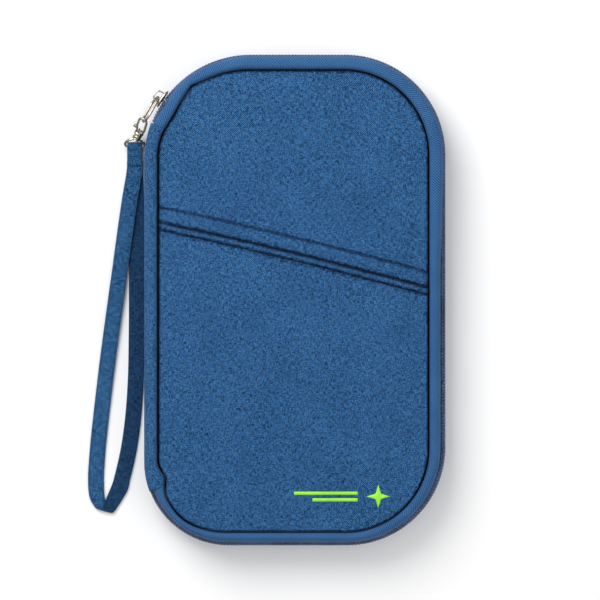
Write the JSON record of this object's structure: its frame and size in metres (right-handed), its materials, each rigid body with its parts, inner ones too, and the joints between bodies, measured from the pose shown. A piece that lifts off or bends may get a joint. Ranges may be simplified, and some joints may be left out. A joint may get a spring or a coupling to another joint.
{
  "type": "zip-around passport holder",
  "caption": "Flat zip-around travel wallet for passports and boarding passes, with a slanted front pocket, a fold-out spine and a clip-on wrist strap.",
  "frame": {"origin": "centre of the back cover's outer face, which the holder rests on", "axes": "+Z out of the front cover, +Y to the top edge, -X to the spine"},
  "size_m": [0.1757, 0.24, 0.0252],
  "materials": {
    "heather_fabric": "heather polyester weave, matt",
    "zip_tape": "herringbone tape, slight sheen",
    "zip_coil": "nylon coil",
    "lining_fabric": "plain woven nylon",
    "foam_padding": "foam with a fleece back",
    "stiffener_board": "grey board",
    "elastic": "ribbed elastic",
    "nickel_metal": "polished nickel plate",
    "spring_steel": "bare spring steel",
    "print": "flat screen print"
  },
  "bodies": {
    "back_cover": {"back_panel": "heather_fabric", "back_padding": "foam_padding", "back_board": "stiffener_board", "back_lining": "lining_fabric", "back_zip_tape": "zip_tape", "back_zip_coil": "zip_coil", "back_binding": "lining_fabric", "back_spine_edge": "heather_fabric", "document_pocket": "lining_fabric", "boarding_pass_pocket": "lining_fabric", "passport_pocket": "lining_fabric"},
    "spine": {"spine_panel": "heather_fabric", "spine_lining": "lining_fabric", "pen_loop": "elastic"},
    "front_cover": {"front_upper_panel": "heather_fabric", "front_pocket_panel": "heather_fabric", "front_pocket_lining": "lining_fabric", "front_padding": "foam_padding", "front_board": "stiffener_board", "front_lining": "lining_fabric", "front_zip_tape": "zip_tape", "front_zip_coil": "zip_coil", "front_binding": "lining_fabric", "front_spine_edge": "heather_fabric", "mark_star": "print", "mark_bar_upper": "print", "mark_bar_lower": "print", "card_slot_1": "lining_fabric", "card_slot_2": "lining_fabric", "card_slot_3": "lining_fabric", "coin_pocket_panel": "lining_fabric", "coin_zip_tape_upper": "zip_tape", "coin_zip_tape_lower": "zip_tape", "coin_zip_coil_upper": "zip_coil", "coin_zip_coil_lower": "zip_coil"},
    "coin_slider": {"coin_slider_body": "nickel_metal"},
    "coin_puller": {"coin_puller_tab": "nickel_metal"},
    "slider": {"slider_body": "nickel_metal", "slider_bail": "nickel_metal"},
    "puller": {"puller_ring": "nickel_metal"},
    "clasp": {"clasp_hook": "nickel_metal", "gate_spring": "spring_steel"},
    "gate": {"clasp_gate": "nickel_metal"},
    "swivel": {"swivel_loop": "nickel_metal"},
    "strap": {"strap_fold": "heather_fabric", "strap_loop": "heather_fabric"}
  },
  "joints": [
    {"name": "back_fold", "type": "hinge", "parent": "back_cover", "child": "spine", "pos_m": [-0.0695, 0, 0.004], "axis": [0, -1, 0], "range_deg": [0, 90]},
    {"name": "front_fold", "type": "hinge", "parent": "spine", "child": "front_cover", "pos_m": [-0.0695, 0, 0.021], "axis": [0, -1, 0], "range_deg": [0, 90]},
    {"name": "slider_run", "type": "hinge", "parent": "back_cover", "child": "slider", "pos_m": [-0.0215, 0.068, 0.0125], "axis": [0, 0, -1], "range_deg": [0, 40]},
    {"name": "puller_swing", "type": "hinge", "parent": "slider", "child": "puller", "pos_m": [-0.06672, 0.09966, 0.0125], "axis": [0, 0, -1], "range_deg": [0, 130.5]},
    {"name": "clasp_swing", "type": "hinge", "parent": "puller", "child": "clasp", "pos_m": [-0.07467, 0.08718, 0.0118], "axis": [0, 0, -1], "range_deg": [0, 50]},
    {"name": "gate_press", "type": "hinge", "parent": "clasp", "child": "gate", "pos_m": [-0.07748, 0.08397, 0.00832], "axis": [-0.4087, -0.4815, 0.7753], "range_deg": [0, 18], "stiffness_Nm_per_rad": 0.002},
    {"name": "swivel_turn", "type": "hinge", "parent": "clasp", "child": "swivel", "pos_m": [-0.07467, 0.08718, 0.0118], "axis": [-0.2854, -0.7394, -0.6097], "range_deg": [0, 60]},
    {"name": "strap_lift", "type": "hinge", "parent": "swivel", "child": "strap", "pos_m": [-0.07907, 0.07578, 0.0024], "axis": [-1, 0, 0], "range_deg": [0, 75]},
    {"name": "coin_zip_run", "type": "slide", "parent": "front_cover", "child": "coin_slider", "axis": [1, 0, 0], "range_m": [0, 0.08]},
    {"name": "coin_pull_lift", "type": "hinge", "parent": "coin_slider", "child": "coin_puller", "pos_m": [-0.0401, -0.008, 0.01655], "axis": [0, 1, 0], "range_deg": [0, 30]}
  ],
  "couplings": [
    {"joint": "front_fold", "follows": "back_fold", "ratio": 1},
    {"joint": "puller_swing", "follows": "back_fold", "ratio": 1.4444}
  ]
}
